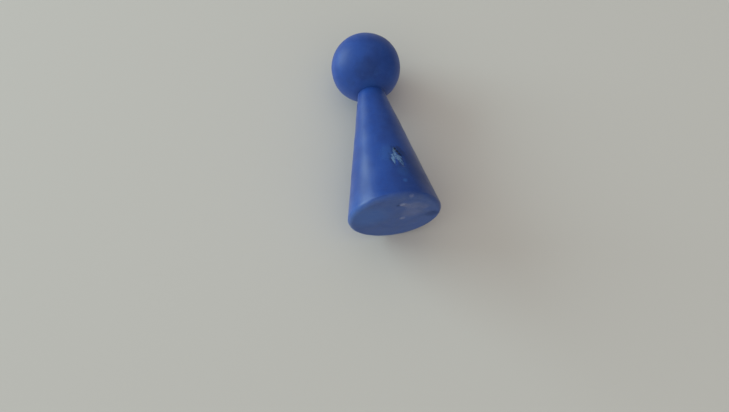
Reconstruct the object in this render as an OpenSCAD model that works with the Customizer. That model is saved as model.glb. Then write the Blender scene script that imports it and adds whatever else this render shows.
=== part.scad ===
// Ball-headed game pawn.
// A turned wooden cone carries a turned wooden ball on a glued tenon, and each of the two
// wears a pale undercoat and a coloured lacquer.
// The pawn stands on its base: the origin is the centre of the base and +Z runs up the axis.

/* [Pawn] */
// Height over all, from the base to the top of the ball
height = 28.5; // [24:0.1:40]
// Diameter of the base, across the widest part of its rounded rim
base_d = 12; // [9:0.1:18]
// Diameter of the finished ball
ball_d = 9.8; // [8:0.1:14]
// Diameter of the finished neck, where the ball sits on it
neck_d = 3.7; // [3.2:0.1:6]
// Radius of the rounded rim of the base
rim_r = 0.55; // [0.4:0.05:1.5]

/* [Tenon] */
// Diameter of the tenon on top of the cone
tenon_d = 2.2; // [1.4:0.1:2.4]
// Length of the tenon above the seat of the ball
tenon_l = 4.5; // [2:0.1:6]
// Chamfer at the end of the tenon
tenon_chamfer = 0.3; // [0.1:0.05:0.6]
// Room for glue round the tenon, on the radius
glue_gap = 0.1; // [0.05:0.01:0.2]
// Room for glue past the end of the tenon
glue_pocket = 0.4; // [0.1:0.05:1]

/* [Finish] */
// Thickness of the coloured lacquer
lacquer_t = 0.12; // [0.05:0.01:0.18]
// Thickness of the pale undercoat
undercoat_t = 0.08; // [0.03:0.01:0.15]

/* [Hidden] */

$fn = 128;
// Straight steps in the rounded rim
rim_steps = 12;
// How far the drill that bores the ball starts below the seat
bore_overrun = 0.5;

wood_colour = [0.80, 0.66, 0.46];
glue_colour = [0.92, 0.88, 0.76];
undercoat_colour = [0.84, 0.86, 0.86];
lacquer_colour = [0.16, 0.29, 0.56];

base_r = base_d / 2;
ball_r = ball_d / 2;
neck_r = neck_d / 2;
tenon_r = tenon_d / 2;

// The ball touches the top of the pawn, and the seat is where its surface is as wide as the neck
ball_z = height - ball_r;
seat_z = ball_z - sqrt(pow(ball_r, 2) - pow(neck_r, 2));

// The rim is an arc about this centre, and the flank runs from the neck to touch that arc
rim_x = base_r - rim_r;
rim_z = rim_r;
neck_from_rim = [neck_r - rim_x, seat_z - rim_z];
flank_angle = atan2(neck_from_rim[1], neck_from_rim[0]) - acos(rim_r / norm(neck_from_rim));

// Depths of the layers below the finished surface
undercoat_depth = lacquer_t;
wood_depth = lacquer_t + undercoat_t;

tenon_z = seat_z + tenon_l;
bore_r = tenon_r + glue_gap;
bore_z = tenon_z + glue_pocket;

// Half outline of the cone at a depth below its finished surface: from the middle of the base,
// round the rim and up the flank to the seat
function cone_line(depth) = [
    [0, depth],
    for (step = [0 : rim_steps])
        let (angle = -90 + (90 + flank_angle) * step / rim_steps)
        [rim_x + (rim_r - depth) * cos(angle), rim_z + (rim_r - depth) * sin(angle)],
    [neck_r - depth / cos(flank_angle), seat_z]
];

// Half outline of the tenon, from its shoulder to the middle of its end
function tenon_line() = [
    [tenon_r, seat_z],
    [tenon_r, tenon_z - tenon_chamfer],
    [tenon_r - tenon_chamfer, tenon_z],
    [0, tenon_z]
];

function backwards(line) = [for (i = [len(line) - 1 : -1 : 0]) line[i]];

// One coat on the cone, between two depths below its finished surface
module cone_coat(outer_depth, inner_depth) {
    rotate_extrude()
        polygon(concat(cone_line(outer_depth), backwards(cone_line(inner_depth))));
}

// The sphere that lies at a depth below the surface of the finished ball
module ball_layer(depth) {
    translate([0, 0, ball_z])
        sphere(r = ball_r - depth);
}

// What is cut from every layer of the ball: the flat seat, and the bore for the tenon
module ball_cuts() {
    translate([0, 0, seat_z - ball_d])
        cylinder(h = ball_d, r = ball_r);
    translate([0, 0, seat_z - bore_overrun])
        cylinder(h = bore_z - seat_z + bore_overrun, r = bore_r);
}

// One coat on the ball, between two depths below its finished surface
module ball_coat(outer_depth, inner_depth) {
    difference() {
        ball_layer(outer_depth);
        ball_layer(inner_depth);
        ball_cuts();
    }
}

// Turned cone, with the tenon on its shoulder
module wooden_cone() {
    color(wood_colour)
        rotate_extrude()
            polygon(concat(cone_line(wood_depth), tenon_line()));
}

// Turned ball, flat where it sits on the neck and bored for the tenon
module wooden_ball() {
    color(wood_colour)
        difference() {
            ball_layer(wood_depth);
            ball_cuts();
        }
}

// Set glue, which fills the bore round the tenon and past its end
module tenon_glue() {
    color(glue_colour)
        rotate_extrude()
            polygon(concat([[bore_r, bore_z], [bore_r, seat_z]], tenon_line(), [[0, bore_z]]));
}

// Undercoat on the flank, the rim and the base
module cone_undercoat() {
    color(undercoat_colour)
        cone_coat(undercoat_depth, wood_depth);
}

// Undercoat on the ball
module ball_undercoat() {
    color(undercoat_colour)
        ball_coat(undercoat_depth, wood_depth);
}

// Lacquer on the flank, the rim and the base
module cone_lacquer() {
    color(lacquer_colour)
        cone_coat(0, undercoat_depth);
}

// Lacquer on the ball
module ball_lacquer() {
    color(lacquer_colour)
        ball_coat(0, undercoat_depth);
}

wooden_cone();
wooden_ball();
tenon_glue();
cone_undercoat();
ball_undercoat();
cone_lacquer();
ball_lacquer();
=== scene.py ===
# %% [markdown]
# # A lacquered wooden pawn
# A pawn for a race game: a turned cone with a ball glued on top, under a pale undercoat and a blue
# lacquer. It has been played with, so the lacquer has a chip, a crack and rubbed places. The CAD frame
# gives every piece its place and size. This script adds what the frame doesn't hold: the slightly
# uneven film, the chip that goes through it, and the finish of every surface.

# %% Load the frame
from collections import namedtuple
from math import acos, asin, atan2, cos, degrees, exp, hypot, pi, radians, sin, sqrt, tan

import bmesh
import bpy
from mathutils import Matrix, Quaternion, Vector, noise


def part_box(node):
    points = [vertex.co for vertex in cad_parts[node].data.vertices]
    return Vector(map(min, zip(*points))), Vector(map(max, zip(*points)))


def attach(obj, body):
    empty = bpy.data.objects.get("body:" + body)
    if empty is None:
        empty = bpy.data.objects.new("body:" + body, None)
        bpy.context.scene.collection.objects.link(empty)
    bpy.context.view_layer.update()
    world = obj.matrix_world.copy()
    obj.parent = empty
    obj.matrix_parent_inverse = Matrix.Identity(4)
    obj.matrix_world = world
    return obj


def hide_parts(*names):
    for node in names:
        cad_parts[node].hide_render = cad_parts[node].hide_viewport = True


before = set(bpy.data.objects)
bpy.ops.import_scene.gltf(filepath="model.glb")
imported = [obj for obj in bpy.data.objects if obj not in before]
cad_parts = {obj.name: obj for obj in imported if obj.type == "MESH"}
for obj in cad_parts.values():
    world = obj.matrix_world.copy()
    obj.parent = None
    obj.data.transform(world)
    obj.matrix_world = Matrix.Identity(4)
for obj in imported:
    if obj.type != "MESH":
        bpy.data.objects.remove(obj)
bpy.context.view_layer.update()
scene = bpy.context.scene
MM = 0.001
print("nodes:", ", ".join(sorted(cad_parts)))

# %% [markdown]
# ## Sizes
# The frame already knows how big each piece is, so the sizes are read from the boxes of its nodes and
# not typed again. Only the rounding of the rim isn't in any box, so it is the one size written here.

# %% Read the sizes of the pawn
RIM_R = 0.55 * MM

ball_low, ball_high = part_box("ball_lacquer")
cone_low, cone_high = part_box("cone_lacquer")
undercoat_low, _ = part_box("cone_undercoat")
wood_low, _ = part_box("wooden_cone")

height = ball_high[2]
seat_z = cone_high[2]
base_r = (cone_high[0] - cone_low[0]) / 2
ball_r = (ball_high[0] - ball_low[0]) / 2
ball_z = height - ball_r
neck_r = sqrt(ball_r ** 2 - (ball_z - seat_z) ** 2)
undercoat_depth = undercoat_low[2]
wood_depth = wood_low[2]

rim_x = base_r - RIM_R
neck_dx = neck_r - rim_x
neck_dz = seat_z - RIM_R
flank_angle = atan2(neck_dz, neck_dx) - acos(RIM_R / hypot(neck_dx, neck_dz))
print(f"height {height / MM:.2f} mm, ball radius {ball_r / MM:.2f} mm, neck radius {neck_r / MM:.2f} mm")

# %% [markdown]
# ## Camera
# The pawn is seen from below its base plane, turned a little, as it looks when it lies on its side.
# A camera is easiest to keep in step with a photograph when it is given as a place, a point that it
# looks at and a roll, because each of the three can be corrected by itself.

# %% Set the camera
CAMERA_PLACE = Vector((-6.84, -73.44, -31.38)) * MM
CAMERA_AIM = Vector((-3.58, 0, 2.31)) * MM
CAMERA_ROLL = radians(9.96)
SENSOR_WIDTH = 36
FOCAL_LENGTH = 31.2
NEAREST = 1 * MM

camera = bpy.data.objects.new("camera", bpy.data.cameras.new("camera"))
scene.collection.objects.link(camera)
camera.data.sensor_width = SENSOR_WIDTH
camera.data.lens = FOCAL_LENGTH
camera.data.clip_start = NEAREST
camera.location = CAMERA_PLACE
camera.rotation_mode = "QUATERNION"
level_view = (CAMERA_AIM - CAMERA_PLACE).to_track_quat("-Z", "Y")
camera.rotation_quaternion = level_view @ Quaternion((0, 0, 1), -CAMERA_ROLL)
scene.camera = camera
print(f"camera {(CAMERA_AIM - CAMERA_PLACE).length / MM:.0f} mm from the pawn's axis")

# %% [markdown]
# ## Turning a mesh
# On the real pawn a lathe makes every form, so the mesh is made the same way: a half outline is swept
# round the axis. A Screw modifier could do it too, but code gives each ring a known place, which the
# later steps need. An outline that starts and ends on the axis closes into a solid.

# %% The lathe
SEGMENTS = 192
ON_AXIS = 0.001 * MM


def spread(first, last, steps):
    return [first + (last - first) * i / steps for i in range(steps + 1)]


def turn(outline):
    """A closed mesh, turned from a half outline of (radius, height) points."""
    mesh = bmesh.new()
    angles = [2 * pi * i / SEGMENTS for i in range(SEGMENTS)]
    rings = []
    for radius, z in outline:
        if radius < ON_AXIS:
            rings.append([mesh.verts.new((0, 0, z))] * SEGMENTS)
        else:
            rings.append([mesh.verts.new((radius * sin(a), -radius * cos(a), z)) for a in angles])
    for here, there in zip(rings, rings[1:]):
        for i in range(SEGMENTS):
            j = (i + 1) % SEGMENTS
            # On the axis two corners are one point, and the keys of a dict hold each point once
            corners = dict.fromkeys((here[i], here[j], there[j], there[i]))
            mesh.faces.new(tuple(corners))
    bmesh.ops.recalc_face_normals(mesh, faces=mesh.faces)
    return mesh


print(f"lathe: {SEGMENTS} faces round the axis")

# %% [markdown]
# The cone's half outline runs from the middle of the base round the rim to the seat, and the ball's
# from its top to the seat. Both can be drawn at any depth below the finished surface, because each
# coat is the space between two such outlines.

# %% Half outlines of the cone and the ball
def cone_outline(depth, base_rings, rim_steps, flank_rows):
    arc_r = RIM_R - depth
    rim = [
        (rim_x + arc_r * cos(a), RIM_R + arc_r * sin(a))
        for a in spread(-pi / 2, flank_angle, rim_steps)
    ]
    base = [(rim_x * i / base_rings, depth) for i in range(base_rings)]
    start = Vector(rim[-1])
    end = Vector((neck_r - depth / cos(flank_angle), seat_z))
    flank = [tuple(start.lerp(end, i / flank_rows)) for i in range(1, flank_rows + 1)]
    return base + rim + flank


def ball_outline(depth, rows):
    radius = ball_r - depth
    lowest = acos((seat_z - ball_z) / radius)
    return [(radius * sin(a), ball_z + radius * cos(a)) for a in spread(0, lowest, rows)]


print(f"flank leans {degrees(flank_angle):.1f} degrees")

# %% [markdown]
# Marks on the pawn are placed as a person would point at them: by an angle round the axis, counted
# from the front to the right, and by a height on the flank or a rise above the middle of the ball.

# %% Places on the pawn
def flank_radius(z):
    return neck_r + (seat_z - z) * tan(flank_angle)


def on_flank(angle, z, lift=0):
    """A point at a lift above the flank of the cone."""
    radius = flank_radius(z) + lift * cos(flank_angle)
    return Vector((radius * sin(angle), -radius * cos(angle), z + lift * sin(flank_angle)))


def on_ball(angle, rise):
    """A point on the ball."""
    radius = ball_r * cos(rise)
    return Vector((radius * sin(angle), -radius * cos(angle), ball_z + ball_r * sin(rise)))


def on_base(x, y):
    return Vector((x, y, 0))


print("front of the ball:", tuple(round(c / MM, 2) for c in on_ball(0, 0)), "mm")

# %% [markdown]
# ## An uneven film
# Sprayed or dipped lacquer is never as true as the turning under it. It flows into broad, shallow
# waves that only show as a wobble in the reflections. Noise that moves the points in and out does
# this with real shape, so the meshes keep it. The waves fade at the seat, where two pieces meet.

# %% Waves in the lacquer
WAVE_LENGTHS = (3.0 * MM, 1.2 * MM)
WAVE_HEIGHTS = (0.050 * MM, 0.012 * MM)
SEAT_FADE = 1.2 * MM


def waves(point):
    """How far the lacquer stands out or in at a point."""
    rise = 0
    for length, wave_height in zip(WAVE_LENGTHS, WAVE_HEIGHTS):
        rise += wave_height * noise.noise(point / length)
    return rise * min(1, abs(point.z - seat_z) / SEAT_FADE)


def push(mesh, points, amount):
    """Moves points along their normals by an amount that depends on their place."""
    mesh.normal_update()
    moves = [(v, v.normal * amount(v.co)) for v in points]
    for v, move in moves:
        v.co += move


print(f"waves up to {sum(WAVE_HEIGHTS) / MM:.3f} mm high")

# %% [markdown]
# ## The chip
# The flank has one chip about 3 mm long, forked and barbed, with a crack in the film beside it.
# Each arm is a stroke: a line of points with half a width at each. A stroke is a good way to write
# down a scratch, because it can be bent and widened one point at a time.

# %% Where the lacquer is chipped
# Each point of a stroke is an angle round the axis in degrees, then a height and half a width in mm.
ARMS = {
    "left_arm": [
        (13.4, 7.85, 0.05), (13.9, 7.35, 0.15), (13.6, 6.90, 0.21), (11.6, 6.55, 0.26),
        (9.7, 6.25, 0.27), (9.4, 5.90, 0.25), (9.8, 5.50, 0.19), (9.7, 5.12, 0.05),
    ],
    "left_barb": [(10.5, 6.52, 0.13), (8.4, 6.66, 0.12), (6.4, 6.74, 0.04)],
    "right_arm": [
        (14.0, 6.85, 0.15), (15.4, 6.46, 0.27), (17.3, 6.12, 0.31), (19.3, 5.70, 0.29),
        (21.0, 5.25, 0.20), (21.7, 4.85, 0.05),
    ],
    "right_barb": [(18.2, 6.42, 0.06), (20.0, 6.38, 0.13), (22.0, 6.20, 0.13), (23.6, 6.00, 0.05)],
}
CRACK = {
    "crack": [
        (15.5, 8.05, 0.04), (16.8, 7.52, 0.13), (18.5, 7.12, 0.19), (21.0, 6.80, 0.18),
        (23.2, 6.55, 0.09), (24.8, 6.32, 0.03),
    ],
}
STROKE_STEP = 0.06 * MM


def stroke_path(stroke):
    """Points along a stroke, close together, as (angle, height, half width)."""
    path = []
    for (a0, z0, w0), (a1, z1, w1) in zip(stroke, stroke[1:]):
        start = Vector((radians(a0), z0 * MM, w0 * MM))
        end = Vector((radians(a1), z1 * MM, w1 * MM))
        run = (on_flank(end.x, end.y) - on_flank(start.x, start.y)).length
        steps = max(1, round(run / STROKE_STEP))
        path += [start.lerp(end, i / steps) for i in range(steps)]
    return path + [end]


chip_paths = {name: stroke_path(stroke) for name, stroke in (ARMS | CRACK).items()}
print("chip:", ", ".join(f"{name} {len(path)} points" for name, path in chip_paths.items()))

# %% [markdown]
# A cutter is a curved bar that follows one stroke and reaches through the film on both sides. Its two
# edges wander by a little noise, which leaves the ragged edge of broken lacquer.

# %% Cutters for the chip
CUT_REACH = 0.3 * MM
RAGGED_SHARE = 0.45
RAGGED_LENGTH = 0.16 * MM
SIDE_SEED = Vector((0, 0, 9))


def new_object(name, mesh):
    """Turns a finished mesh into an object in the scene."""
    data = bpy.data.meshes.new(name)
    mesh.to_mesh(data)
    mesh.free()
    made = bpy.data.objects.new(name, data)
    scene.collection.objects.link(made)
    return made


def across_stroke(path, i):
    """The way across a stroke at one of its points, as a change of angle and of height."""
    before = path[max(i - 1, 0)]
    after = path[min(i + 1, len(path) - 1)]
    radius = flank_radius(path[i].y)
    along = Vector(((after.x - before.x) * radius, after.y - before.y)).normalized()
    return Vector((along.y / radius, -along.x))


def stroke_cutter(name, path):
    mesh = bmesh.new()
    sections = []
    for i, (angle, z, half_width) in enumerate(path):
        across = across_stroke(path, i)
        corners = []
        for side in (-1, 1):
            wander = noise.noise(on_flank(angle, z) / RAGGED_LENGTH + SIDE_SEED * side)
            width = side * half_width * (1 + RAGGED_SHARE * wander)
            for lift in (-CUT_REACH * side, CUT_REACH * side):
                edge = on_flank(angle + across.x * width, z + across.y * width, lift)
                corners.append(mesh.verts.new(edge))
        sections.append(corners)
    for here, there in zip(sections, sections[1:]):
        for k in range(4):
            mesh.faces.new((here[k - 1], here[k], there[k], there[k - 1]))
    mesh.faces.new(sections[0])
    mesh.faces.new(sections[-1])
    bmesh.ops.recalc_face_normals(mesh, faces=mesh.faces)
    return new_object(name, mesh)


print(f"cutters reach {CUT_REACH / MM:.1f} mm to each side of the flank")

# %% [markdown]
# Fingers have rubbed the edges of the chip since it broke, so the film slopes down to it. The slope
# matters for the look: a sheer edge would throw a black shadow over the pale floor of the chip.

# %% Worn edges round the chip
EDGE_WEAR = 0.07 * MM
EDGE_REACH = 0.20 * MM
CHIP_MIDDLE = on_flank(radians(16), 6.4 * MM)
CHIP_REACH = 2.6 * MM
REFINE_REACH = 0.6 * MM


def stroke_points(names):
    """All points of some strokes on the flank, each with half a width."""
    return [(on_flank(angle, z), half) for name in names for angle, z, half in chip_paths[name]]


arm_points = stroke_points(ARMS)
chip_points = stroke_points(chip_paths)


def gap_to(points, point):
    """How far a place lies outside some strokes, negative inside them."""
    surface = on_flank(atan2(point.x, -point.y), point.z)
    return min((surface - centre).length - half_width for centre, half_width in points)


def near_chip(point):
    return (point - CHIP_MIDDLE).length < CHIP_REACH and gap_to(chip_points, point) < REFINE_REACH


def edge_wear(point):
    """How deep the film is worn beside the arms of the chip."""
    gap = max(gap_to(arm_points, point), 0)
    return EDGE_WEAR * exp(-((gap / EDGE_REACH) ** 2))


print(f"edges worn {EDGE_WEAR / MM:.2f} mm deep")

# %% [markdown]
# ## Rubs, grime and painted shade
# A pawn is pushed about on its base and knocked by others, so it has shallow rubs. Each is a dish a few
# hundredths of a millimetre deep with a rough, greyish floor. A scuff is fainter: it turns the blue
# paler and has hardly any depth. Fingers and the board leave grime, which is darker and has none. Some
# darker marks are painted shade, one is a painted dark reflection, and two pale marks paint light.

# %% A mark on the pawn
Mark = namedtuple("Mark", "place radius depth strength")


def mark_at(place, radius, depth, strength):
    """A mark, with its radius and depth in millimetres and a strength from 0 to 1."""
    return Mark(place, radius * MM, depth * MM, strength)


def base_mark(x, y, *form):
    return mark_at(on_base(x * MM, y * MM), *form)


def flank_mark(angle, z, *form):
    return mark_at(on_flank(radians(angle), z * MM), *form)


def ball_mark(angle, rise, *form):
    return mark_at(on_ball(radians(angle), radians(rise)), *form)


print("a mark has", ", ".join(Mark._fields))

# %% [markdown]
# The marks are kept in lists, by piece and by kind. The same lists serve the shape here and the finish
# later, so that a spot and its dish always lie in the same place.

# %% Places of the rubs, scuffs, grime and painted light and shade
# Each mark has two numbers for its place, in mm or degrees, then a radius, a depth and a strength.
CONE_RUBS = {
    "base_rub": base_mark(0.95, -3.60, 0.62, 0.05, 0.90),
    "base_rub_right": base_mark(1.50, -3.20, 0.60, 0.04, 0.60),
    "base_haze": base_mark(2.30, -2.80, 1.40, 0.01, 0.45),
    "base_haze_right": base_mark(3.60, -2.10, 0.90, 0.02, 0.40),
    "base_haze_low": base_mark(2.20, -1.00, 1.80, 0, 0.35),
    "base_spot": base_mark(0.94, 0.50, 0.50, 0.04, 0.75),
    "rim_rub": base_mark(1.95, -5.55, 0.45, 0.03, 0.55),
}
CONE_SCUFFS_AND_LIGHT = {
    "flank_spot": flank_mark(16.5, 2.44, 0.40, 0.02, 0.45),
    # Painted light: this pale trail lies where the lit side of the flank meets its dark side.
    "flank_light_trail": flank_mark(18.2, 3.90, 1.10, 0, 0.22),
    "chip_haze": flank_mark(4, 6.90, 1.70, 0, 0.26),
    # Partly a scuff and partly painted light: the left of the base is paler, where more light falls.
    "base_left_scuff_and_light": base_mark(-3.60, -1.60, 3.80, 0, 0.34),
}
BALL_RUBS = {
    "back": ball_mark(150, 12, 0.50, 0.02, 0.30),
}
BALL_SCUFFS = {
    "streak": ball_mark(16, -46, 0.44, 0.02, 0.16),
    "streak_end": ball_mark(25, -45, 0.30, 0.01, 0.12),
    "spot": ball_mark(-15, -45, 0.30, 0.02, 0.10),
    "low_front": ball_mark(-4, -62, 1.30, 0, 0.12),
}
CONE_GRIME_AND_SHADE = {
    # Painted shade, not grime: the first four marks, a shadow beside the crack and the flank's dark
    # side.
    "crack_top_shadow": flank_mark(21, 7.50, 0.70, 0, 0.75),
    "crack_side_shadow": flank_mark(24.5, 6.85, 0.80, 0, 0.75),
    "chip_side_shade": flank_mark(29, 5.90, 1.50, 0, 0.50),
    "right_side_shade": flank_mark(58, 4.40, 5.00, 0, 0.42),
    "chip_left": flank_mark(5.9, 5.85, 0.35, 0, 0.35),
    "base_spot": base_mark(0.30, -3.59, 0.32, 0, 0.65),
    "base_edge": base_mark(4.84, 0.40, 1.20, 0, 0.50),
}
BALL_GRIME_AND_DARK_REFLECTION = {
    # Painted reflection: the front mark is the viewer's dark reflection in the middle of the ball, not
    # grime.
    "front": ball_mark(-4, -38, 2.20, 0, 0.32),
    "low_left": ball_mark(-52, -47, 1.00, 0, 0.25),
    "back": ball_mark(160, -20, 1.80, 0, 0.25),
}
CRACK_SHADE = {
    # Painted shade: these spots darken the narrow crack, where shade falls.
    "upper": flank_mark(17.2, 7.66, 0.40, 0, 1),
    "middle": flank_mark(19.4, 7.18, 0.42, 0, 1),
    "lower": flank_mark(22.3, 6.82, 0.40, 0, 1),
    "end": flank_mark(24.2, 6.52, 0.32, 0, 1),
}
print("rubs:", ", ".join(CONE_RUBS | BALL_RUBS))

# %% [markdown]
# A rub is deepest in its middle and runs out to nothing at its edge, as a worn dish does. A sculpting
# brush could press it in, but a formula can be repeated. Noise keeps its floor from looking pressed.

# %% The shape of the rubs
RUB_GRAIN = 0.22 * MM

cone_wear = CONE_RUBS | CONE_SCUFFS_AND_LIGHT
ball_wear = BALL_RUBS | BALL_SCUFFS


def rub_depth(rubs, point):
    """How deep the rubs of a list go at a point."""
    depth = 0
    for rub in rubs.values():
        share = max(0, 1 - ((point - rub.place).length / rub.radius) ** 2)
        rough = 1 + noise.noise(point / RUB_GRAIN)
        depth += rub.depth * share * rough / 2
    return depth


def in_a_rub(rubs, point):
    return any((point - rub.place).length < rub.radius for rub in rubs.values() if rub.depth > 0)


deepest = max(rub.depth for rub in cone_wear.values())
print(f"rubs up to {deepest / MM:.2f} mm deep")

# %% [markdown]
# ## Working on a film
# A film is turned from two outlines, and its outside, the skin, gets a relief. It needs many points
# where small shapes lie, and few elsewhere. Dividing all of it would make a needlessly heavy mesh, so
# only the faces that are wanted are divided.

# %% Turn and divide a film
REFINE_CUTS = 3


def refine(mesh, wanted):
    """Divides the faces whose middle is wanted."""
    faces = [face for face in mesh.faces if wanted(face.calc_center_median())]
    edges = list({edge for face in faces for edge in face.edges})
    bmesh.ops.subdivide_edges(mesh, edges=edges, cuts=REFINE_CUTS, use_grid_fill=True)


def make_film(name, outside, inside, is_skin, needs_points, relief):
    """A film between two outlines, with its skin divided where needed and moved."""
    film = turn(outside + inside[::-1])
    refine(film, lambda point: is_skin(point) and needs_points(point))
    push(film, [v for v in film.verts if is_skin(v.co)], relief)
    return new_object(name, film)


print("a divided edge gets", REFINE_CUTS, "more points")

# %% [markdown]
# The chip is cut out with a Boolean modifier, which does that cleanly, and its result becomes the mesh.
# Flakes that the cuts leave loose are dropped, as they would have fallen off the real pawn.

# %% Cut a film
TOO_SHORT = 0.0005 * MM


def carve(piece, cutters):
    """Cuts several cutters out of a piece for good, all at once."""
    tools = bpy.data.collections.new("tools")
    for cutter in cutters:
        tools.objects.link(cutter)
    modifier = piece.modifiers.new("chip", "BOOLEAN")
    modifier.operation = "DIFFERENCE"
    modifier.solver = "EXACT"
    modifier.operand_type = "COLLECTION"
    modifier.collection = tools
    depsgraph = bpy.context.evaluated_depsgraph_get()
    carved = bpy.data.meshes.new_from_object(piece.evaluated_get(depsgraph))
    piece.modifiers.clear()
    piece.data = carved
    for cutter in cutters:
        bpy.data.objects.remove(cutter)
    bpy.data.collections.remove(tools)


def clean_cut(piece):
    """Takes needless points and loose flakes out of a carved piece."""
    mesh = bmesh.new()
    mesh.from_mesh(piece.data)
    needless = [vert for vert in mesh.verts if len(vert.link_edges) == 2]
    bmesh.ops.dissolve_verts(mesh, verts=needless)
    bmesh.ops.dissolve_degenerate(mesh, dist=TOO_SHORT, edges=mesh.edges)
    loose = set(mesh.verts)
    reached = [min(mesh.verts, key=lambda vert: vert.co.length)]
    while reached:
        vert = reached.pop()
        if vert in loose:
            loose.remove(vert)
            reached += [edge.other_vert(vert) for edge in vert.link_edges]
    bmesh.ops.delete(mesh, geom=list(loose), context="VERTS")
    bmesh.ops.triangulate(mesh, faces=mesh.faces)
    mesh.to_mesh(piece.data)
    mesh.free()


print(f"edges under {TOO_SHORT / MM:.4f} mm are closed up")

# %% [markdown]
# Last, a film takes its place in the frame, where it stands for one node. It is shaded smoothly, except
# where it bends so sharply that a real edge shows.

# %% Dress a film
SHARP_ANGLE = radians(35)


def dress(piece, node):
    """Smooth shading, and the place of a piece in the frame."""
    piece.data.shade_smooth()
    piece.data.set_sharp_from_angle(angle=SHARP_ANGLE)
    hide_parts(node)
    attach(piece, "root")
    print(f"{piece.name}: {len(piece.data.polygons)} faces")


print(f"bends over {degrees(SHARP_ANGLE):.0f} degrees stay sharp")

# %% [markdown]
# ## The lacquer on the cone
# The film is a closed solid, with an outside that everyone sees and an inside that lies on the
# undercoat. Only the outside is moved: by the waves, the rubs and the worn edges of the chip. On the
# rim and the base the waves only go inwards, because the pawn has to stand flat.

# %% Make the cone's lacquer
def depth_below_cone(point):
    """How deep a point lies below the finished surface of the cone."""
    radius = hypot(point.x, point.y)
    flank = (flank_radius(point.z) - radius) * cos(flank_angle)
    rim = RIM_R - hypot(radius - rim_x, point.z - RIM_R)
    in_rim = radius > rim_x and point.z < RIM_R
    return rim if in_rim else min(point.z, flank)


def is_cone_skin(point):
    return depth_below_cone(point) < undercoat_depth / 2


def cone_needs_points(point):
    return in_a_rub(cone_wear, point) or near_chip(point)


def cone_relief(point):
    """Everything that lifts or sinks the cone's lacquer."""
    rise = waves(point)
    if point.z < RIM_R:
        rise = -abs(rise)
    if near_chip(point):
        rise -= edge_wear(point)
    return rise - rub_depth(cone_wear, point)


outside = cone_outline(0, base_rings=24, rim_steps=12, flank_rows=110)
inside = cone_outline(undercoat_depth, base_rings=4, rim_steps=8, flank_rows=12)
skin_rules = (is_cone_skin, cone_needs_points, cone_relief)
cone_skin = make_film("cone_lacquer_film", outside, inside, *skin_rules)
carve(cone_skin, [stroke_cutter(name, path) for name, path in chip_paths.items()])
clean_cut(cone_skin)
dress(cone_skin, "cone_lacquer")

# %% [markdown]
# ## The lacquer on the ball
# The ball has the same film with no chip, so it is turned, divided at its rubs and scuffs, and given
# its waves.

# %% Make the ball's lacquer
ball_middle = Vector((0, 0, ball_z))


def is_ball_skin(point):
    return (point - ball_middle).length > ball_r - undercoat_depth / 2


def ball_needs_points(point):
    return in_a_rub(ball_wear, point)


def ball_relief(point):
    return waves(point) - rub_depth(ball_wear, point)


outside = ball_outline(0, rows=110)
inside = ball_outline(undercoat_depth, rows=24)
skin_rules = (is_ball_skin, ball_needs_points, ball_relief)
ball_skin = make_film("ball_lacquer_film", outside, inside, *skin_rules)
dress(ball_skin, "ball_lacquer")

# %% [markdown]
# ## The undercoat that shows in the chip
# Through the chip one looks at the undercoat of the cone. It gets a mesh of its own, because a bare
# turned surface would look too clean there: torn lacquer leaves a crumbly floor, with shreds of the
# film still on it, so the floor lies a little higher than the undercoat elsewhere.

# %% Make the cone's undercoat
FLOOR_RISE = 0.035 * MM
FLOOR_EDGE = 0.10 * MM
CRUMB_HEIGHT = 0.030 * MM
CRUMB_LENGTH = 0.14 * MM


def is_undercoat_skin(point):
    return depth_below_cone(point) < (undercoat_depth + wood_depth) / 2


def chip_floor(point):
    """How far the torn floor of the chip rises at a point."""
    if not near_chip(point):
        return 0
    inside_share = min(1, max(0, -gap_to(arm_points, point) / FLOOR_EDGE))
    return inside_share * (FLOOR_RISE + CRUMB_HEIGHT * noise.noise(point / CRUMB_LENGTH))


outside = cone_outline(undercoat_depth, base_rings=10, rim_steps=10, flank_rows=90)
inside = cone_outline(wood_depth, base_rings=4, rim_steps=8, flank_rows=12)
skin_rules = (is_undercoat_skin, near_chip, chip_floor)
undercoat = make_film("cone_undercoat_film", outside, inside, *skin_rules)
dress(undercoat, "cone_undercoat")

# %% [markdown]
# ## Building finishes from nodes
# Every finish is made of nodes, so it has no pictures and works at any size. Nodes can be wired by hand
# in the editor, but code can repeat them. The first helpers add a node and feed its inputs.

# %% Helpers for nodes
def add(tree, kind, **settings):
    """Adds a node and sets its properties."""
    made = tree.nodes.new(kind)
    for name, value in settings.items():
        setattr(made, name, value)
    return made


def wire(tree, socket, value):
    """Wires an output to an input, or sets the input to a plain value."""
    if isinstance(value, bpy.types.NodeSocket):
        tree.links.new(value, socket)
    else:
        socket.default_value = value


def feed(tree, node, **values):
    """Feeds inputs of a node by name, with an underscore for each space."""
    for name, value in values.items():
        wire(tree, node.inputs[name.replace("_", " ")], value)


print("node helpers ready")

# %% [markdown]
# The next helpers each make one kind of node in a single line, which keeps the later cells short.

# %% Helpers for sums and colours
def math_node(tree, operation, first, second):
    made = add(tree, "ShaderNodeMath", operation=operation)
    wire(tree, made.inputs[0], first)
    wire(tree, made.inputs[1], second)
    return made.outputs["Value"]


def vector_node(tree, operation, first, second):
    made = add(tree, "ShaderNodeVectorMath", operation=operation)
    wire(tree, made.inputs[0], first)
    wire(tree, made.inputs[1], second)
    return made


def map_range(tree, value, low, high, to_low=0, to_high=1, soft=True):
    """Turns a stretch of values into another, and stops at both ends."""
    made = add(tree, "ShaderNodeMapRange", interpolation_type="SMOOTHSTEP" if soft else "LINEAR")
    feed(tree, made, Value=value, From_Min=low, From_Max=high, To_Min=to_low, To_Max=to_high)
    return made.outputs["Result"]


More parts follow.
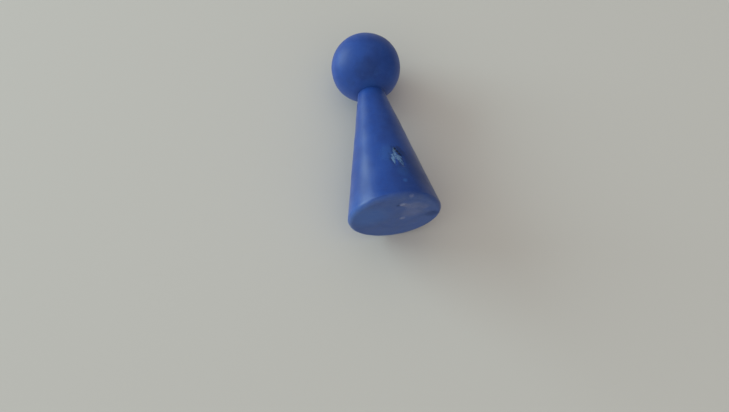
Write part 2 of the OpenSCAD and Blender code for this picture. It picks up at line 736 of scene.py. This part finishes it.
def mix_colour(tree, factor, first, second):
    """Mixes two colours, which are inputs 6 and 7 and output 2 of a Mix node."""
    made = add(tree, "ShaderNodeMix", data_type="RGBA")
    wire(tree, made.inputs["Factor"], factor)
    wire(tree, made.inputs[6], first)
    wire(tree, made.inputs[7], second)
    return made.outputs[2]


print("sum and colour helpers ready")

# %% [markdown]
# Three more helpers say where on the pawn a point lies, how noise runs there, and which of several
# masks is the strongest.

# %% Helpers for places and masks
def object_point(tree):
    return add(tree, "ShaderNodeTexCoord").outputs["Object"]


def noise_value(tree, vector, scale, detail=2, roughness=0.5):
    made = add(tree, "ShaderNodeTexNoise")
    feed(tree, made, Vector=vector, Scale=scale, Detail=detail, Roughness=roughness)
    return made.outputs["Fac"]


def strongest(tree, masks):
    """The largest of several masks."""
    result = masks[0]
    for mask in masks[1:]:
        result = math_node(tree, "MAXIMUM", result, mask)
    return result


print("place and mask helpers ready")

# %% [markdown]
# A node group is a small tree with named inputs, which any finish can use with its own values. That is
# better than copying nodes, because an effect is made once and stays alike wherever it is used.

# %% Helpers for groups
NUMBER = "NodeSocketFloat"
COLOUR = "NodeSocketColor"
POINT = "NodeSocketVector"


def new_group(name, *inputs):
    """A shader group with its inputs, each given as a name, a kind and a value."""
    tree = bpy.data.node_groups.new(name, "ShaderNodeTree")
    for socket_name, kind, value in inputs:
        socket = tree.interface.new_socket(socket_name, in_out="INPUT", socket_type=kind)
        socket.default_value = value
    return tree, add(tree, "NodeGroupInput").outputs


def give_out(tree, socket_name, kind, value):
    """Makes the one output of a group and wires it."""
    tree.interface.new_socket(socket_name, in_out="OUTPUT", socket_type=kind)
    tree.links.new(value, add(tree, "NodeGroupOutput").inputs[socket_name])
    print("group", tree.name)


def use_group(tree, group, **values):
    """Places a group in a material with its own values, and hands back the output."""
    made = add(tree, "ShaderNodeGroup", node_tree=group)
    feed(tree, made, **values)
    return made.outputs[0]


print("group helpers ready")

# %% [markdown]
# Every finish starts from one Principled shader, may get a relief from a Bump node, and is then put on
# a piece.

# %% Helpers for materials
def start_material(name):
    material = bpy.data.materials.new(name)
    material.use_nodes = True
    tree = material.node_tree
    return material, tree, tree.nodes["Principled BSDF"]


def add_bump(tree, shader, relief, depth, invert=False):
    """Lets a relief change the way that the surface faces."""
    bump = add(tree, "ShaderNodeBump", invert=invert)
    feed(tree, bump, Distance=depth, Height=relief)
    feed(tree, shader, Normal=bump.outputs["Normal"])


def paint(thing, material):
    """Gives a mesh one material and no other."""
    thing.data.materials.clear()
    thing.data.materials.append(material)
    print(material.name, "on", thing.name)


print("material helpers ready")

# %% [markdown]
# ## Ripple
# Every sprayed or brushed coat has a skin of small waves, too fine to be worth points in a mesh. A
# broad and a fine noise make a height for a Bump node. Lacquer, undercoat and glue all use it.

# %% The ripple of a coat
PER_MM = 1 / MM
FINE_SHARE = 0.25

ripple, given = new_group(
    "coat_ripple",
    ("Broad Scale", NUMBER, 0.9 * PER_MM),
    ("Fine Scale", NUMBER, 5 * PER_MM),
)
broad = noise_value(ripple, object_point(ripple), given["Broad Scale"])
fine = noise_value(ripple, object_point(ripple), given["Fine Scale"], detail=3)
fine_part = math_node(ripple, "MULTIPLY", fine, FINE_SHARE)
give_out(ripple, "Height", NUMBER, math_node(ripple, "ADD", broad, fine_part))

# %% [markdown]
# ## Drift
# No pigment is mixed perfectly, so its colour drifts slowly over a surface. A soft noise that mixes two
# near colours is enough, and it keeps a finish from looking like a single flat colour.

# %% The drift of a pigment
DRIFT_FROM = 0.32
DRIFT_TO = 0.68

drift, given = new_group(
    "pigment_drift",
    ("Colour", COLOUR, (0.5, 0.5, 0.5, 1)),
    ("Drift Colour", COLOUR, (0.4, 0.4, 0.4, 1)),
    ("Scale", NUMBER, 0.5 * PER_MM),
)
cloud = noise_value(drift, object_point(drift), given["Scale"], detail=4, roughness=0.6)
share = map_range(drift, cloud, DRIFT_FROM, DRIFT_TO)
give_out(drift, "Colour", COLOUR, mix_colour(drift, share, given["Colour"], given["Drift Colour"]))

# %% [markdown]
# ## Smudges
# Fingers leave a thin film on the pawn, which dulls its gloss in patches. It has no colour of its own,
# so it is a mask that only the roughness uses.

# %% Smudges of fingers
SMUDGE_FROM = 0.4
SMUDGE_TO = 0.7

smudges, given = new_group("finger_smudges", ("Scale", NUMBER, 0.35 * PER_MM))
cloud = noise_value(smudges, object_point(smudges), given["Scale"], detail=5, roughness=0.6)
give_out(smudges, "Mask", NUMBER, map_range(smudges, cloud, SMUDGE_FROM, SMUDGE_TO))

# %% [markdown]
# ## Ragged spots
# A ragged spot marks one place that is rubbed, scuffed or grimy. Its mask is the distance from a
# centre, and noise is added to that distance, so that the edge of the spot wanders and isn't a circle.

# %% A ragged spot
SPOT_EDGE = 1.0
SPOT_FULL = 0.35
SPOT_GRAIN = 4 * PER_MM
NOISE_MIDDLE = 0.5


def ragged_reach(tree, reach, scale, roughness):
    """A distance with noise added to it, which is as often more as less."""
    grain = noise_value(tree, object_point(tree), scale, detail=4, roughness=roughness)
    return math_node(tree, "ADD", reach, math_node(tree, "SUBTRACT", grain, NOISE_MIDDLE))


spot, given = new_group("ragged_spot", ("Centre", POINT, (0, 0, 0)), ("Radius", NUMBER, 1 * MM))
away = vector_node(spot, "DISTANCE", object_point(spot), given["Centre"]).outputs["Value"]
share = math_node(spot, "DIVIDE", away, given["Radius"])
reach = ragged_reach(spot, share, SPOT_GRAIN, roughness=0.65)
give_out(spot, "Mask", NUMBER, map_range(spot, reach, SPOT_EDGE, SPOT_FULL))

# %% [markdown]
# ## Hairlines
# Handling leaves fine scratches that run in all directions. Noise that is stretched far along one way
# gives streaks, and three such noises, turned differently, cross each other as real scratches do.

# %% Hairlines of handling
HAIR_TURNS = (0.5, 1.9, 2.7)
HAIR_WIDTH = 0.11 * MM
HAIR_LENGTH = 2.9 * MM
HAIR_FROM = 0.66
HAIR_TO = 0.72

hairlines, given = new_group("hairlines", ("Amount", NUMBER, 1))
lines = []
for turned in HAIR_TURNS:
    tilt = add(hairlines, "ShaderNodeMapping", vector_type="TEXTURE")
    rotation = (turned, turned / 2, turned)
    stretch = (HAIR_WIDTH, HAIR_LENGTH, HAIR_LENGTH)
    feed(hairlines, tilt, Vector=object_point(hairlines), Rotation=rotation, Scale=stretch)
    streaks = noise_value(hairlines, tilt.outputs["Vector"], 1, detail=1)
    lines.append(map_range(hairlines, streaks, HAIR_FROM, HAIR_TO))
shown = math_node(hairlines, "MULTIPLY", strongest(hairlines, lines), given["Amount"])
give_out(hairlines, "Mask", NUMBER, shown)

# %% [markdown]
# ## Painted shade in the crease
# The crease between ball and neck lies in shade, so a darker blue is painted there as shade. The
# crease lies at one height, so the mask is the distance from that height, made ragged in the same
# way as a spot.

# %% Painted shade in a crease
CREASE_GRAIN = 1.2 * PER_MM
CREASE_EDGE = 1.0
CREASE_FULL = 0.1


def object_height(tree):
    """How high a point lies above the base."""
    split = add(tree, "ShaderNodeSeparateXYZ")
    feed(tree, split, Vector=object_point(tree))
    return split.outputs["Z"]


crease, given = new_group(
    "painted_crease_shade",
    ("Crease Height", NUMBER, 0),
    ("Reach", NUMBER, 1 * MM),
    ("Amount", NUMBER, 1),
)
above = math_node(crease, "SUBTRACT", object_height(crease), given["Crease Height"])
away = math_node(crease, "ABSOLUTE", above, 0)
share = math_node(crease, "DIVIDE", away, given["Reach"])
reach = ragged_reach(crease, share, CREASE_GRAIN, roughness=0.6)
near = map_range(crease, reach, CREASE_EDGE, CREASE_FULL)
give_out(crease, "Mask", NUMBER, math_node(crease, "MULTIPLY", near, given["Amount"]))

# %% [markdown]
# ## Blue lacquer
# The lacquer is a strong, slightly milky blue with a soft gloss. Both pieces came out of the same pot,
# but the ball is handled most, so it is duller, and its blue is set a little paler as painted light.
# Where the film is worn thin, scuffed or rubbed, the pale undercoat shows through, and grime, painted
# shade and a painted dark reflection are a darker blue.

# %% Colours of the lacquer
Coat = namedtuple("Coat", "colour drift_colour roughness shine")
CONE_COAT = Coat((0.0110, 0.053, 0.265, 1), (0.0090, 0.043, 0.225, 1), roughness=0.31, shine=0.28)
# The ball's paler blue is painted light for how the ball is lit. Its higher roughness makes it duller.
BALL_COAT = Coat((0.0155, 0.061, 0.290, 1), (0.0120, 0.047, 0.235, 1), roughness=0.46, shine=0.21)
WORN_BLUE = (0.115, 0.165, 0.30, 1)
# This paler blue paints scuffs, and on two marks painted light.
SCUFFED_AND_LIT_BLUE = (0.035, 0.13, 0.43, 1)
RUBBED_GREY = (0.16, 0.20, 0.37, 1)
RUBBED_VIOLET = (0.12, 0.14, 0.26, 1)
# This darker blue paints grime, and also painted shade and a painted dark reflection.
GRIME_AND_PAINTED_DARK_BLUE = (0.006, 0.024, 0.110, 1)
print("coat of the cone:", CONE_COAT.colour[:3], "and of the ball:", BALL_COAT.colour[:3])

# %% [markdown]
# The base is rubbed dull in patches, and that wear fades out over the rim, which touches the board
# first. Each mark of the lists above gets a ragged spot in its own place.

# %% Masks of wear
BASE_FADE = 0.90 * MM
PATCH_SCALE = 0.8 * PER_MM
PATCH_FROM = 0.30
PATCH_TO = 0.75
FAINT_WEAR = 0.28
STRONG_WEAR = 0.44


def worn_base_mask(tree):
    on_the_base = map_range(tree, object_height(tree), BASE_FADE, 0)
    cloud = noise_value(tree, object_point(tree), PATCH_SCALE, detail=5, roughness=0.65)
    patches = map_range(tree, cloud, PATCH_FROM, PATCH_TO, FAINT_WEAR, STRONG_WEAR)
    return math_node(tree, "MULTIPLY", patches, on_the_base)


def mark_masks(tree, marks):
    """One mask for each mark of a list, as strong as the mark says."""
    masks = []
    for mark in marks.values():
        shape = use_group(tree, spot, Centre=mark.place, Radius=mark.radius)
        masks.append(math_node(tree, "MULTIPLY", shape, mark.strength))
    return masks


print("masks ready for", len(cone_wear), "rubs and scuffs on the cone")

# %% [markdown]
# The colours lie on each other as they do on the pawn: the pigment, then what wear, scuffs, painted
# light and rubs have made of it, and on top the grime, the painted shade and the painted dark
# reflection.

# %% The colour of the lacquer
PIGMENT_SCALE = 0.45 * PER_MM
RUBBED_SCALE = 0.8 * PER_MM
CREASE_REACH = 0.6 * MM
CREASE_SHADE = 0.12


def lacquer_colour(tree, coat, worn, scuffed_and_lit, rubbed, grime_and_painted_dark):
    pigment = use_group(
        tree, drift, Colour=coat.colour, Drift_Colour=coat.drift_colour, Scale=PIGMENT_SCALE
    )
    thinned = mix_colour(tree, worn, pigment, WORN_BLUE)
    paled = mix_colour(tree, scuffed_and_lit, thinned, SCUFFED_AND_LIT_BLUE)
    chalky = use_group(tree, drift, Colour=RUBBED_GREY, Drift_Colour=RUBBED_VIOLET, Scale=RUBBED_SCALE)
    bared = mix_colour(tree, rubbed, paled, chalky)
    # Painted shade: the crease between ball and neck is darkened in the colour.
    crease_shade = use_group(tree, crease, Crease_Height=seat_z, Reach=CREASE_REACH, Amount=CREASE_SHADE)
    # The darkening holds the grime, the painted shade and the painted dark reflection.
    darkening = strongest(tree, [crease_shade] + mark_masks(tree, grime_and_painted_dark))
    return mix_colour(tree, darkening, bared, GRIME_AND_PAINTED_DARK_BLUE)


# The reach printed here is that of the painted shade in the crease.
print(f"grime reaches {CREASE_REACH / MM:.1f} mm from the crease")

# %% [markdown]
# One function makes the lacquer for both pieces. Smudges and wear dull it, the ripple gives it a
# relief, and a breath of dust is the shader's sheen, which pales the edges that are seen at a slant.

# %% Make the lacquer
HAIR_STRENGTH = 0.05
SMUDGE_DULLING = 0.10
WORN_ROUGHNESS = 0.62
DUST = 0.07
DUST_SPREAD = 0.40
RIPPLE_DEPTH = 0.004 * MM
WEAR_DEPTH_SHARE = 0.5


def lacquer(name, coat, scuffs_and_light, rubs, grime_and_painted_dark, worn_base):
    """Blue lacquer with scuffs, painted light, rubs, grime and painted shade, and a worn base if asked.
    """
    material, tree, shader = start_material(name)
    worn = use_group(tree, hairlines, Amount=HAIR_STRENGTH)
    if worn_base:
        worn = strongest(tree, [worn, worn_base_mask(tree)])
    # The scuff masks include two marks of painted light.
    scuffed_and_lit = strongest(tree, mark_masks(tree, scuffs_and_light))
    rubbed = strongest(tree, mark_masks(tree, rubs))
    colour = lacquer_colour(tree, coat, worn, scuffed_and_lit, rubbed, grime_and_painted_dark)
    wear = strongest(tree, [worn, rubbed])
    dulled = coat.roughness + SMUDGE_DULLING
    smudged = map_range(tree, use_group(tree, smudges), 0, 1, coat.roughness, dulled, soft=False)
    scraped = map_range(tree, wear, 0, 1, coat.roughness, WORN_ROUGHNESS, soft=False)
    feed(tree, shader, Base_Color=colour, Roughness=strongest(tree, [smudged, scraped]))
    feed(tree, shader, Specular_IOR_Level=coat.shine)
    feed(tree, shader, Sheen_Weight=DUST, Sheen_Roughness=DUST_SPREAD)
    rubbed_off = math_node(tree, "MULTIPLY", wear, WEAR_DEPTH_SHARE)
    relief = math_node(tree, "SUBTRACT", use_group(tree, ripple), rubbed_off)
    add_bump(tree, shader, relief, RIPPLE_DEPTH)
    return material


cone_marks = (CONE_SCUFFS_AND_LIGHT, CONE_RUBS, CONE_GRIME_AND_SHADE)
ball_marks = (BALL_SCUFFS, BALL_RUBS, BALL_GRIME_AND_DARK_REFLECTION)
paint(cone_skin, lacquer("cone_blue_lacquer", CONE_COAT, *cone_marks, worn_base=True))
paint(ball_skin, lacquer("ball_blue_lacquer", BALL_COAT, *ball_marks, worn_base=False))

# %% [markdown]
# ## Undercoat
# The undercoat is chalky and pale, and where it shows it is stained by the blue that was torn off it.
# Shreds of the film still lie along the flank: noise stretched along the axis draws them. The crack is
# painted nearly black, as painted shade in the narrow slot, with the same kind of spot as the grime.

# %% Make the undercoat
CHALK = (0.125, 0.245, 0.47, 1)
STAINED_CHALK = (0.075, 0.165, 0.36, 1)
STAIN_SCALE = 2.5 * PER_MM
BLUE_SHRED = (0.020, 0.075, 0.240, 1)
SHRED_STRETCH = (7 * PER_MM, 7 * PER_MM, 2.2 * PER_MM)
SHRED_FROM = 0.49
SHRED_TO = 0.60
# A near-black for the painted shade in the crack.
CRACK_SHADE_BLACK = (0.004, 0.010, 0.035, 1)
STRAND_LOW = 0.3
STRAND_HIGH = 0.7
CHALK_ROUGHNESS = 0.75
SHRED_ROUGHNESS = 0.55
CRUMB_SCALE = 4 * PER_MM
GRAIN_SCALE = 18 * PER_MM
CHALK_GRAIN = 0.01 * MM


def stretched_point(tree, scales):
    """A point scaled by its own amount along each axis."""
    return vector_node(tree, "MULTIPLY", object_point(tree), scales).outputs["Vector"]


def undercoat_finish():
    """Stained chalk with shreds of blue along the flank, and painted shade in the crack."""
    material, tree, shader = start_material("pale_undercoat")
    stained = use_group(tree, drift, Colour=CHALK, Drift_Colour=STAINED_CHALK, Scale=STAIN_SCALE)
    strand = noise_value(tree, stretched_point(tree, SHRED_STRETCH), 1, detail=4, roughness=0.65)
    shreds = mix_colour(tree, map_range(tree, strand, SHRED_FROM, SHRED_TO), stained, BLUE_SHRED)
    # Painted shade: the crack is darkened here.
    darkening = strongest(tree, mark_masks(tree, CRACK_SHADE))
    colour = mix_colour(tree, darkening, shreds, CRACK_SHADE_BLACK)
    dullness = map_range(tree, strand, STRAND_LOW, STRAND_HIGH, CHALK_ROUGHNESS, SHRED_ROUGHNESS)
    feed(tree, shader, Base_Color=colour, Roughness=dullness)
    crumbs = use_group(tree, ripple, Broad_Scale=CRUMB_SCALE, Fine_Scale=GRAIN_SCALE)
    add_bump(tree, shader, crumbs, CHALK_GRAIN)
    return material


pale_undercoat = undercoat_finish()
paint(undercoat, pale_undercoat)
paint(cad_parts["ball_undercoat"], pale_undercoat)

# %% [markdown]
# ## Wood
# The wood under the coats is beech: pale brown, with rings round a heart that is off the lathe's axis,
# and short dark flecks along the grain. A Wave node makes the rings. The wood is closed in, so it only
# shows when the pawn is taken apart.

# %% Make the wood
PALE_BEECH = (0.60, 0.42, 0.25, 1)
DARK_BEECH = (0.47, 0.30, 0.16, 1)
HEART = (-9 * MM, 5 * MM, 0)
RING_SCALE = 0.55 * PER_MM
RING_BEND = 1.5
RING_DETAIL = 3
FLECK = (0.33, 0.19, 0.09, 1)
FLECK_STRETCH = (7 * PER_MM, 7 * PER_MM, 0.8 * PER_MM)
FLECK_FROM = 0.60
FLECK_TO = 0.70
FLECK_DEPTH = 0.01 * MM
WOOD_ROUGHNESS = 0.5
FLECK_ROUGHNESS = 0.7


def beech():
    material, tree, shader = start_material("turned_beech")
    rings = add(tree, "ShaderNodeTexWave", wave_type="RINGS", rings_direction="Z")
    from_heart = vector_node(tree, "SUBTRACT", object_point(tree), HEART).outputs["Vector"]
    feed(tree, rings, Vector=from_heart, Scale=RING_SCALE)
    feed(tree, rings, Distortion=RING_BEND, Detail=RING_DETAIL)
    grain_colour = mix_colour(tree, rings.outputs["Fac"], PALE_BEECH, DARK_BEECH)
    strand = noise_value(tree, stretched_point(tree, FLECK_STRETCH), 1)
    flecks = map_range(tree, strand, FLECK_FROM, FLECK_TO)
    colour = mix_colour(tree, flecks, grain_colour, FLECK)
    dullness = map_range(tree, flecks, 0, 1, WOOD_ROUGHNESS, FLECK_ROUGHNESS)
    feed(tree, shader, Base_Color=colour, Roughness=dullness)
    add_bump(tree, shader, flecks, FLECK_DEPTH, invert=True)
    return material


turned_beech = beech()
paint(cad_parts["wooden_cone"], turned_beech)
paint(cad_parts["wooden_ball"], turned_beech)

# %% [markdown]
# ## Glue
# The glue round the tenon has set to a yellowish horn. It shares drift and ripple with the coats, so it
# needs only its own colours and values.

# %% Make the glue
HORN = (0.74, 0.62, 0.38, 1)
DARK_HORN = (0.62, 0.48, 0.26, 1)
HORN_SCALE = 1.5 * PER_MM
GLUE_ROUGHNESS = 0.35
GLUE_RIPPLE = 0.01 * MM


def set_glue():
    material, tree, shader = start_material("set_glue")
    colour = use_group(tree, drift, Colour=HORN, Drift_Colour=DARK_HORN, Scale=HORN_SCALE)
    feed(tree, shader, Base_Color=colour, Roughness=GLUE_ROUGHNESS)
    add_bump(tree, shader, use_group(tree, ripple), GLUE_RIPPLE)
    return material


paint(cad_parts["tenon_glue"], set_glue())

# %% [markdown]
# ## Ground
# The pawn lies on its side on a pale ground, which touches the rim and the ball. In the frame the pawn
# stands upright, so that ground is an upright wall behind it. The pawn stands on a floor as well, for
# views from above.

# %% Make the ground and the floor
GROUND_SIZE = 200 * MM
FLOOR_GAP = 0.02 * MM

rim_to_ball = hypot(rim_x, ball_z - RIM_R)
lean = atan2(rim_x, ball_z - RIM_R) - asin((ball_r - RIM_R) / rim_to_ball)
ground_normal = Vector((0, -cos(lean), -sin(lean)))
ground_foot = -ground_normal * (ball_r + ball_z * sin(lean) + sum(WAVE_HEIGHTS))


def flat_sheet(name, centre, normal):
    mesh = bmesh.new()
    bmesh.ops.create_grid(mesh, x_segments=1, y_segments=1, size=GROUND_SIZE)
    made = new_object(name, mesh)
    made.rotation_mode = "QUATERNION"
    made.rotation_quaternion = normal.to_track_quat("Z", "Y")
    made.location = centre
    return made


ground = flat_sheet("ground", ground_foot, ground_normal)
floor = flat_sheet("floor", Vector((0, 0, -FLOOR_GAP)), Vector((0, 0, 1)))
print(f"ground leans {degrees(lean):.1f} degrees from the pawn's axis")

# %% [markdown]
# Both show to the camera and in the gloss, from one side only, and let all other light through: so they
# carry the pawn's shadow, and the pawn is lit alike from every side. The floor is the warmer of the
# two, because more of its light comes from the bluish window.

# %% Paint the ground and the floor
GROUND_COLOUR = (0.54, 0.52, 0.505, 1)
FLOOR_COLOUR = (0.59, 0.515, 0.492, 1)
GROUND_ROUGHNESS = 0.9
GROUND_SHINE = 0.1


def one_sided_ground(name, colour):
    """A pale, matt ground that the camera and the gloss see, and only from its front."""
    material, tree, shader = start_material(name)
    feed(tree, shader, Base_Color=colour, Roughness=GROUND_ROUGHNESS)
    feed(tree, shader, Specular_IOR_Level=GROUND_SHINE)
    clear = add(tree, "ShaderNodeBsdfTransparent")
    behind = add(tree, "ShaderNodeNewGeometry").outputs["Backfacing"]
    ray = add(tree, "ShaderNodeLightPath")
    shown = math_node(tree, "MAXIMUM", ray.outputs["Is Camera Ray"], ray.outputs["Is Glossy Ray"])
    seen = math_node(tree, "MULTIPLY", math_node(tree, "SUBTRACT", 1, behind), shown)
    choose = add(tree, "ShaderNodeMixShader")
    feed(tree, choose, Fac=seen)
    wire(tree, choose.inputs[1], clear.outputs["BSDF"])
    wire(tree, choose.inputs[2], shader.outputs["BSDF"])
    feed(tree, tree.nodes["Material Output"], Surface=choose.outputs["Shader"])
    return material


paint(ground, one_sided_ground("pale_ground", GROUND_COLOUR))
paint(floor, one_sided_ground("pale_floor", FLOOR_COLOUR))

# %% [markdown]
# ## The window
# One wide window stands low on the left, a little behind the ball. It draws the pale strip along the
# flank and throws the long soft shadow. An area lamp is the plain way to make it: its size sets how
# soft the shadow is, and its shape is the shape of the reflection.

# %% Make the window
WINDOW_RISE = radians(15)
WINDOW_TURN = radians(31)
WINDOW_DISTANCE = 600 * MM
WINDOW_WIDTH = 395 * MM
WINDOW_HEIGHT = 420 * MM
WINDOW_POWER = 3.0
WINDOW_COLOUR = (0.73, 0.97, 1.0)
PAWN_MIDDLE = Vector((0, 0, height / 2))


def facing_pawn(toward):
    """Turns a lamp to face the pawn, with its height square to the ground."""
    backward = toward.normalized()
    upright = (ground_normal - backward * ground_normal.dot(backward)).normalized()
    sideways = upright.cross(backward)
    return Matrix((sideways, upright, backward)).transposed().to_quaternion()


left_far = Vector((-cos(WINDOW_TURN), 0, sin(WINDOW_TURN)))
to_window = left_far * cos(WINDOW_RISE) + ground_normal * sin(WINDOW_RISE)
pane = bpy.data.lights.new("window", "AREA")
pane.shape = "RECTANGLE"
pane.size = WINDOW_WIDTH
pane.size_y = WINDOW_HEIGHT
pane.energy = WINDOW_POWER
pane.color = WINDOW_COLOUR
window = bpy.data.objects.new("window", pane)
scene.collection.objects.link(window)
window.location = PAWN_MIDDLE + to_window * WINDOW_DISTANCE
window.rotation_mode = "QUATERNION"
window.rotation_quaternion = facing_pawn(to_window)
window.visible_camera = False
print("window at", tuple(round(c / MM) for c in window.location), "mm")

# %% [markdown]
# ## The room
# The room gives the rest of the light. It is a box of six walls, each with its own light: a way that
# points between walls sees a mix of them, by the squares of its parts, which always add up to one. The
# wall on the right is dark, and so the pawn has a lit and a dark side.

# %% Make the room
WALL_LIGHT = {
    (-1, 0, 0): (0.86, 1.03, 0.98),
    (1, 0, 0): (0.08, 0.06, 0.05),
    (0, -1, 0): (0.91, 0.88, 0.83),
    (0, 1, 0): (0.88, 0.87, 0.82),
    (0, 0, 1): (0.31, 0.29, 0.28),
    (0, 0, -1): (0.87, 0.82, 0.72),
}

world = bpy.data.worlds.new("room")
world.use_nodes = True
scene.world = world
tree = world.node_tree
direction = add(tree, "ShaderNodeTexCoord").outputs["Generated"]


def part_along(way):
    """How much of a direction points along a way."""
    return vector_node(tree, "DOT_PRODUCT", direction, way).outputs["Value"]


def dimmed(light, share):
    scaled = add(tree, "ShaderNodeVectorMath", operation="SCALE")
    wire(tree, scaled.inputs[0], light)
    feed(tree, scaled, Scale=share)
    return scaled.outputs["Vector"]


walls = []
for way, light in WALL_LIGHT.items():
    share = math_node(tree, "POWER", math_node(tree, "MAXIMUM", part_along(way), 0), 2)
    walls.append(dimmed(light, share))
light_sum = walls[0]
for wall in walls[1:]:
    light_sum = vector_node(tree, "ADD", light_sum, wall).outputs["Vector"]
print("room of", len(walls), "walls")

# %% [markdown]
# Whoever looks at the pawn shows in its gloss, as a soft dark shape near the middle of the ball. It has
# a fixed place in the room, as the walls have, and only reflections see it, so it takes no light away.

# %% Put the viewer into the room
VIEWER_WAY = (CAMERA_PLACE - PAWN_MIDDLE).normalized()
VIEWER_EDGE = radians(42)
VIEWER_CORE = radians(16)
VIEWER_LIGHT = 0.02

in_the_way = map_range(tree, part_along(VIEWER_WAY), cos(VIEWER_EDGE), cos(VIEWER_CORE))
reflected = add(tree, "ShaderNodeLightPath").outputs["Is Glossy Ray"]
dark = math_node(tree, "MULTIPLY", math_node(tree, "MULTIPLY", in_the_way, reflected), 1 - VIEWER_LIGHT)
room = tree.nodes["Background"]
feed(tree, room, Color=dimmed(light_sum, math_node(tree, "SUBTRACT", 1, dark)))
print(f"viewer's shape {degrees(VIEWER_EDGE) * 2:.0f} degrees wide")

# %% [markdown]
# Where no ground or floor lies behind the pawn, the camera sees a pale backdrop and not the walls. The
# view transform is Standard, so that a colour renders about as it is written.

# %% Make the backdrop
PALE_BACKDROP = (0.47, 0.465, 0.45, 1)

backdrop = add(tree, "ShaderNodeBackground")
feed(tree, backdrop, Color=PALE_BACKDROP)
choose = add(tree, "ShaderNodeMixShader")
feed(tree, choose, Fac=add(tree, "ShaderNodeLightPath").outputs["Is Camera Ray"])
wire(tree, choose.inputs[1], room.outputs["Background"])
wire(tree, choose.inputs[2], backdrop.outputs["Background"])
feed(tree, tree.nodes["World Output"], Surface=choose.outputs["Shader"])
scene.view_settings.view_transform = "Standard"
print("backdrop done")
